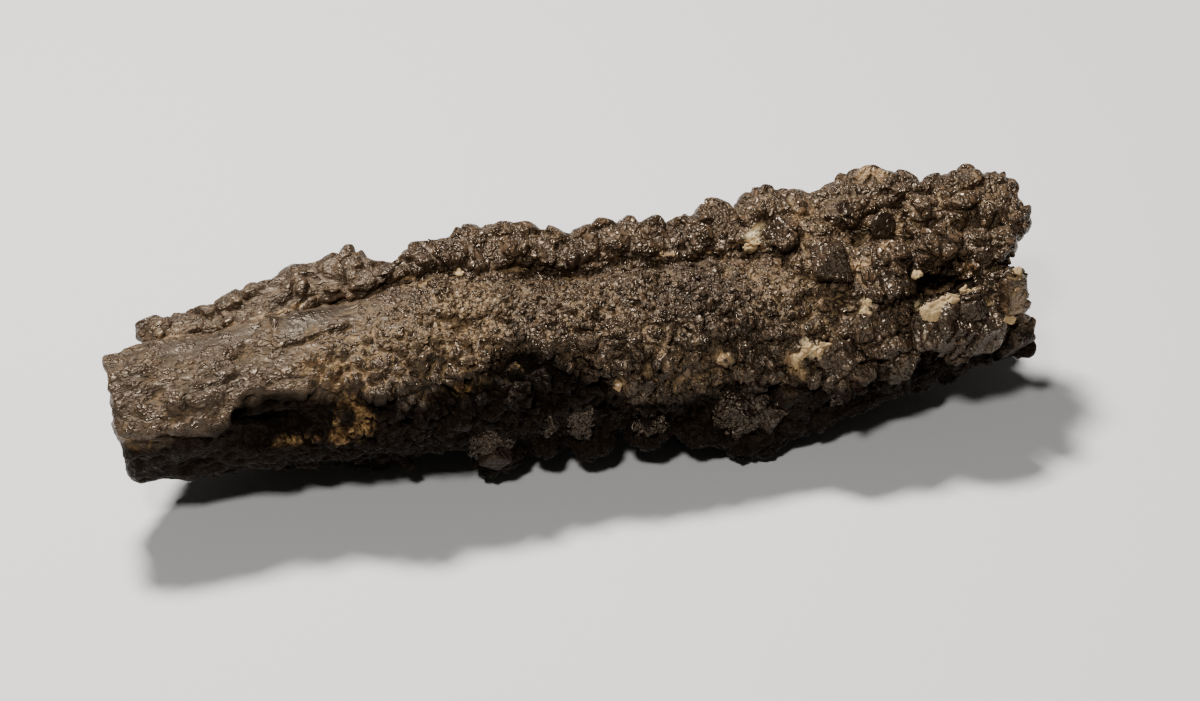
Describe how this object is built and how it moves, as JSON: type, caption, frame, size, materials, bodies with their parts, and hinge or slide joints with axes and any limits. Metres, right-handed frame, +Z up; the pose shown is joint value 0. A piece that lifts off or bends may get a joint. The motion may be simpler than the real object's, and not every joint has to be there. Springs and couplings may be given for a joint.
{
  "type": "iron oxide stone",
  "caption": "Natural rod of dark brown iron oxide, a prophecy stone, worn smooth at one end, with a crest of knobs along its back and crystals crowding the other end.",
  "frame": {"origin": "under the middle of the stone, at the centre of its bounding box on the surface it lies on", "axes": "+X along the rod from its worn, broken end to its crystal end, +Y to the back, where the crest of knobs is, +Z up"},
  "size_m": [0.1016, 0.0284, 0.0259],
  "materials": {
    "iron_oxide": "dark brown, dull metallic sheen, rough"
  },
  "bodies": {
    "root": {"prophecy_stone": "iron_oxide"}
  },
  "joints": []
}
